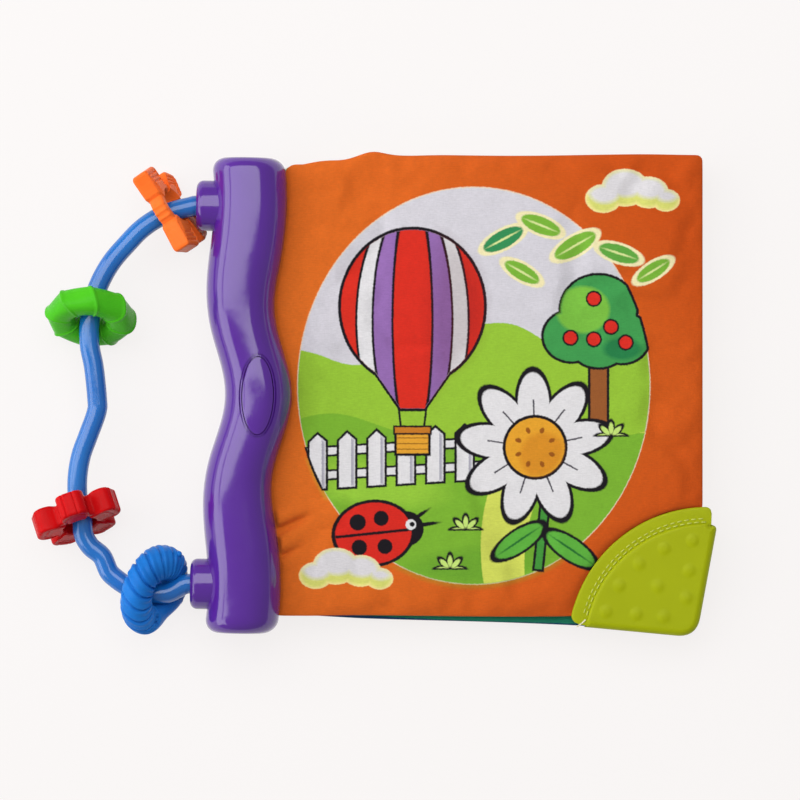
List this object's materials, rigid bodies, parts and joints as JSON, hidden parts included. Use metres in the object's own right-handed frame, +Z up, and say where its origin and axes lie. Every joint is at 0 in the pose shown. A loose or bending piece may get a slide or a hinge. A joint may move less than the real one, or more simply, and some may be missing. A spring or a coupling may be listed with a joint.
{
  "type": "crinkle cloth book",
  "caption": "Cloth book of padded crinkle leaves clamped in a wavy plastic handle with a bead rail on its other side and a silicone teething corner.",
  "frame": {"origin": "bottom centre of the bounding box of the whole book lying flat, front cover up", "axes": "+X from the handle to the free edges of the leaves, +Y up the page, +Z up from the surface it lies on"},
  "size_m": [0.2194, 0.1538, 0.0271],
  "materials": {
    "purple_plastic": "gloss",
    "screw_steel": "plated",
    "tube_plastic": "gloss",
    "orange_plastic": "satin gloss",
    "green_plastic": "satin gloss",
    "red_plastic": "satin gloss",
    "blue_plastic": "satin gloss",
    "front_cover_print": "printed woven cloth",
    "back_cover_print": "printed woven cloth",
    "cover_lining": "printed woven cloth",
    "leaf_2_print": "printed woven cloth",
    "leaf_2_back": "printed woven cloth",
    "leaf_3_print": "printed woven cloth",
    "leaf_3_back": "printed woven cloth",
    "crinkle_film": "thin film",
    "wadding": "soft wadding",
    "binding_tape": "woven tape",
    "teether_silicone": "soft satin"
  },
  "bodies": {
    "handle": {"handle_front_shell": "purple_plastic", "handle_back_shell": "purple_plastic", "handle_screw_1": "screw_steel", "handle_screw_2": "screw_steel", "handle_screw_3": "screw_steel", "handle_screw_4": "screw_steel", "tube_loop": "tube_plastic", "upper_tube_collar": "tube_plastic", "lower_tube_collar": "tube_plastic", "spine_binding": "binding_tape", "front_cover_margin": "front_cover_print", "leaf_2_margin": "leaf_2_print", "leaf_3_margin": "leaf_3_print", "back_cover_margin": "back_cover_print"},
    "front_cover": {"front_cover_outer_cloth": "front_cover_print", "front_cover_crinkle_film": "crinkle_film", "front_cover_wadding": "wadding", "front_cover_inner_cloth": "cover_lining", "corner_teether": "teether_silicone"},
    "leaf_2": {"leaf_2_outer_cloth": "leaf_2_print", "leaf_2_crinkle_film": "crinkle_film", "leaf_2_wadding": "wadding", "leaf_2_inner_cloth": "leaf_2_back"},
    "leaf_3": {"leaf_3_outer_cloth": "leaf_3_print", "leaf_3_crinkle_film": "crinkle_film", "leaf_3_wadding": "wadding", "leaf_3_inner_cloth": "leaf_3_back"},
    "back_cover": {"back_cover_outer_cloth": "cover_lining", "back_cover_crinkle_film": "crinkle_film", "back_cover_wadding": "wadding", "back_cover_inner_cloth": "back_cover_print"},
    "orange_bead_body": {"orange_bead": "orange_plastic"},
    "green_bead_body": {"green_bead": "green_plastic"},
    "red_bead_body": {"red_bead": "red_plastic"},
    "blue_bead_body": {"blue_bead": "blue_plastic"}
  },
  "joints": [
    {"name": "front_cover_turn", "type": "hinge", "parent": "handle", "child": "front_cover", "pos_m": [-0.02313, 0, 0.0126], "axis": [0, -1, 0], "range_deg": [0, 110]},
    {"name": "leaf_2_turn", "type": "hinge", "parent": "handle", "child": "leaf_2", "pos_m": [-0.02153, 0, 0.0089], "axis": [0, -1, 0], "range_deg": [0, 73]},
    {"name": "leaf_3_turn", "type": "hinge", "parent": "handle", "child": "leaf_3", "pos_m": [-0.01993, 0, 0.0052], "axis": [0, -1, 0], "range_deg": [0, 37]},
    {"name": "back_cover_turn", "type": "hinge", "parent": "handle", "child": "back_cover", "pos_m": [-0.01833, 0, 0.0015], "axis": [0, -1, 0], "range_deg": [-150, 0]},
    {"name": "orange_bead_slide_turn", "type": "hinge", "parent": "handle", "child": "orange_bead_body", "pos_m": [-0.05424, 0.02863, 0.0129], "axis": [0, 0, 1], "range_deg": [0, 18]},
    {"name": "green_bead_slide_turn", "type": "hinge", "parent": "handle", "child": "green_bead_body", "pos_m": [-0.05203, 0.01992, 0.0129], "axis": [0, 0, 1], "range_deg": [-16, 20]},
    {"name": "red_bead_slide_turn", "type": "hinge", "parent": "handle", "child": "red_bead_body", "pos_m": [-0.05673, -0.02898, 0.0129], "axis": [0, 0, 1], "range_deg": [-32, 2]},
    {"name": "blue_bead_slide_turn", "type": "hinge", "parent": "handle", "child": "blue_bead_body", "pos_m": [-0.06983, -0.04288, 0.0129], "axis": [0, 0, 1], "range_deg": [-28, 4]}
  ],
  "couplings": [
    {"joint": "leaf_2_turn", "follows": "front_cover_turn", "ratio": 0.66},
    {"joint": "leaf_3_turn", "follows": "front_cover_turn", "ratio": 0.33}
  ]
}
